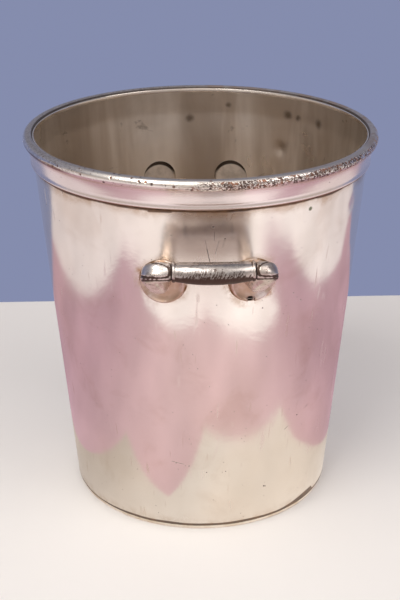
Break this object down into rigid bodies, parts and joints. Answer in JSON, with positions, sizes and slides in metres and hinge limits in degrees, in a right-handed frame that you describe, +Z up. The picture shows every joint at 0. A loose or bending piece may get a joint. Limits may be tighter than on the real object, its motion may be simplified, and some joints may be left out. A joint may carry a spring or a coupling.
{
  "type": "champagne bucket",
  "caption": "Tapered round silver-plated wine bucket with a heavy bead rim, a cove band, a ring foot and fixed bar handles on round dished mounts.",
  "frame": {"origin": "centre of the base, on the surface that the bucket stands on", "axes": "+Z up, -Y out through the front handle, +X to the right of that handle as it is faced"},
  "size_m": [0.21, 0.2618, 0.2289],
  "materials": {
    "shell_plate": "worn polished silver plate, warm, with fine scratches and grey-brown tarnish inside",
    "bead_plate": "silver plate pitted and worn through to copper",
    "band_plate": "polished silver plate, light tarnish",
    "floor_plate": "tarnished silver plate",
    "foot_plate": "worn silver plate",
    "cast_silver": "bright worn plate over a cast bar, pitted and dark in the recesses",
    "cup_plate": "thin pressed silver plate",
    "seam_solder": "dark brown tarnished solder"
  },
  "bodies": {
    "root": {"back_grip_bar": "cast_silver", "back_left_arm": "cast_silver", "back_left_collar": "cast_silver", "back_left_cup": "cup_plate", "back_left_solder": "seam_solder", "back_right_arm": "cast_silver", "back_right_collar": "cast_silver", "back_right_cup": "cup_plate", "back_right_solder": "seam_solder", "body_shell": "shell_plate", "bottom_plate": "floor_plate", "bottom_solder": "seam_solder", "foot_ring": "foot_plate", "foot_seam": "seam_solder", "front_grip_bar": "cast_silver", "front_left_arm": "cast_silver", "front_left_collar": "cast_silver", "front_left_cup": "cup_plate", "front_left_solder": "seam_solder", "front_right_arm": "cast_silver", "front_right_collar": "cast_silver", "front_right_cup": "cup_plate", "front_right_solder": "seam_solder", "rim_band": "band_plate", "rim_bead": "bead_plate", "rim_seam": "seam_solder"}
  },
  "joints": []
}
